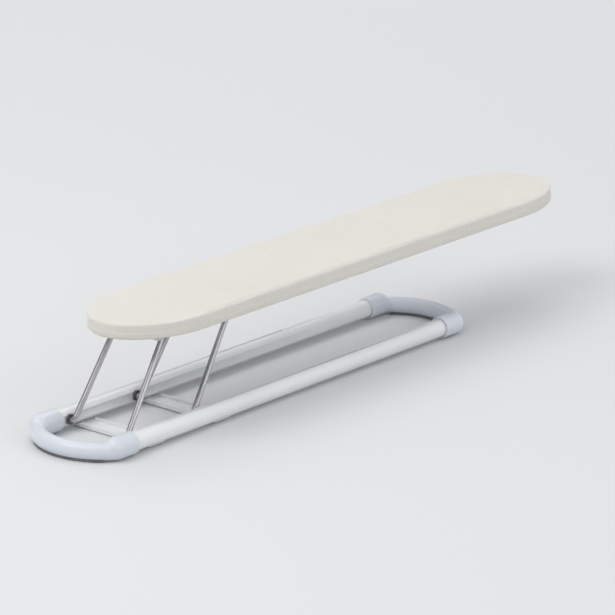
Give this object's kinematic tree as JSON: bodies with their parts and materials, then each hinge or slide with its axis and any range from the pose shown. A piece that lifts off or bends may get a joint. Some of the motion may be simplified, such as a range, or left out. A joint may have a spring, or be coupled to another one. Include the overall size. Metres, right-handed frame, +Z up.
{
  "type": "sleeve ironing board",
  "caption": "Low folding sleeve ironing board: a padded board with rounded ends on wire legs that swing down into a tubular base.",
  "frame": {"origin": "on the table, below the middle of the box around the raised board and the base", "axes": "+X along the board towards its free tail, +Y to the far rail, +Z up"},
  "size_m": [0.6625, 0.1096, 0.107],
  "materials": {
    "rail_paint": "glossy white powder coat",
    "bow_plastic": "smooth cool white moulding",
    "fastener_steel": "zinc plated",
    "grip_rubber": "matt",
    "bush_plastic": "dark grey, matt",
    "leg_chrome": "bright plated rod",
    "deck_paint": "white paint, satin",
    "block_plastic": "light grey moulding",
    "pad_felt": "soft felt",
    "cover_cotton": "unbleached plain-weave cotton",
    "elastic_webbing": "ribbed elastic"
  },
  "bodies": {
    "base": {"left_rail": "rail_paint", "right_rail": "rail_paint", "front_bow": "bow_plastic", "rear_bow": "bow_plastic", "bow_screws": "fastener_steel", "front_grip_strip": "grip_rubber", "rear_grip_strip": "grip_rubber", "front_cross_strap": "rail_paint", "rear_cross_strap": "rail_paint", "strap_rivets": "fastener_steel", "foot_bushes": "bush_plastic"},
    "front_leg": {"front_leg": "leg_chrome"},
    "rear_leg": {"rear_leg": "leg_chrome"},
    "board": {"deck": "deck_paint", "front_hinge_block": "block_plastic", "rear_hinge_block": "block_plastic", "front_saddles": "fastener_steel", "rear_saddles": "fastener_steel", "hinge_rivets": "fastener_steel", "pad": "pad_felt", "cover": "cover_cotton", "hem_elastic": "elastic_webbing"}
  },
  "joints": [
    {"name": "leg_fold", "type": "hinge", "parent": "base", "child": "front_leg", "pos_m": [-0.27175, 0, 0.0105], "axis": [0, -1, 0], "range_deg": [0, 112]},
    {"name": "board_swing", "type": "hinge", "parent": "front_leg", "child": "board", "pos_m": [-0.22151, 0, 0.08698], "axis": [0, -1, 0], "range_deg": [-112, 0]},
    {"name": "rear_leg_swing", "type": "hinge", "parent": "base", "child": "rear_leg", "pos_m": [-0.18775, 0, 0.0105], "axis": [0, -1, 0], "range_deg": [0, 112]}
  ],
  "couplings": [
    {"joint": "board_swing", "follows": "leg_fold", "ratio": -1},
    {"joint": "rear_leg_swing", "follows": "leg_fold", "ratio": 1}
  ]
}
